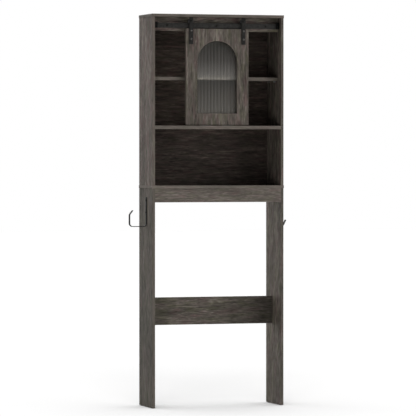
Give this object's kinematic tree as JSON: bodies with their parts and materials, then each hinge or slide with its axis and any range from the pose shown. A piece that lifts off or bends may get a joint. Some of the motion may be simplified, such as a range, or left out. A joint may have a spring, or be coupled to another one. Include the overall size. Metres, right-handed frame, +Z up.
{
  "type": "over-the-toilet storage rack",
  "caption": "Tall narrow rack that straddles a toilet: panel legs, open cabinet with shelves, and a sliding door with an arched reeded window on a flat rail.",
  "frame": {"origin": "on the floor at the centre of the carcass's footprint, between the legs and midway from front to back", "axes": "+X to the right seen from the front, +Y towards the wall behind, +Z up"},
  "size_m": [0.716, 0.2, 1.7],
  "materials": {
    "oak_laminate": "dark grey-brown oak-grain melamine on particle board, matte",
    "oak_hardboard": "oak-grain paper on hardboard, matte",
    "black_steel": "black powder coat, fine texture",
    "zinc_steel": "zinc plated",
    "black_nylon": "moulded nylon, matte",
    "reeded_glass": "reeded, slightly frosted",
    "beech": "turned and fluted, bare",
    "cover_film": "printed stick-on film, matte"
  },
  "bodies": {
    "cabinet": {"back_panel": "oak_hardboard", "bottom_board": "oak_laminate", "bracket_screws": "zinc_steel", "cam_bolts": "zinc_steel", "cam_covers": "cover_film", "cam_discs": "zinc_steel", "door_guides": "black_nylon", "dowels": "beech", "fixed_shelf": "oak_laminate", "foot_glides": "black_nylon", "front_apron": "oak_laminate", "guide_screws": "zinc_steel", "header_board": "oak_laminate", "hook_screws": "black_steel", "leg_left": "oak_laminate", "leg_right": "oak_laminate", "middle_shelf": "oak_laminate", "rail_bolts": "black_steel", "rail_spacers": "black_steel", "rail_stop_left": "black_steel", "rail_stop_right": "black_steel", "shelf_pins": "zinc_steel", "side_hook_left": "black_steel", "side_hook_right": "black_steel", "stop_screws": "black_steel", "stretcher": "oak_laminate", "top_panel": "oak_laminate", "track_rail": "black_steel", "upper_side_left": "oak_laminate", "upper_side_right": "oak_laminate", "wall_brackets": "zinc_steel"},
    "door": {"door_panel": "oak_laminate", "reeded_pane": "reeded_glass", "pane_clips": "black_nylon", "clip_screws": "zinc_steel", "hanger_left": "black_steel", "hanger_right": "black_steel", "hanger_bolts": "black_steel", "roller_axles": "black_steel", "axle_bushes": "black_steel", "axle_nuts": "black_steel"},
    "roller_left": {"roller_left": "black_nylon"},
    "roller_right": {"roller_right": "black_nylon"}
  },
  "joints": [
    {"name": "door_slide", "type": "slide", "parent": "cabinet", "child": "door", "axis": [1, 0, 0], "range_m": [-0.139, 0.139]},
    {"name": "roller_left_spin", "type": "hinge", "parent": "door", "child": "roller_left", "pos_m": [-0.119, -0.076, 1.6707], "axis": [0, 1, 0], "continuous": true},
    {"name": "roller_right_spin", "type": "hinge", "parent": "door", "child": "roller_right", "pos_m": [0.119, -0.076, 1.6707], "axis": [0, 1, 0], "continuous": true}
  ],
  "couplings": [
    {"joint": "roller_left_spin", "follows": "door_slide", "rad_per_m": 125},
    {"joint": "roller_right_spin", "follows": "door_slide", "rad_per_m": 125}
  ]
}
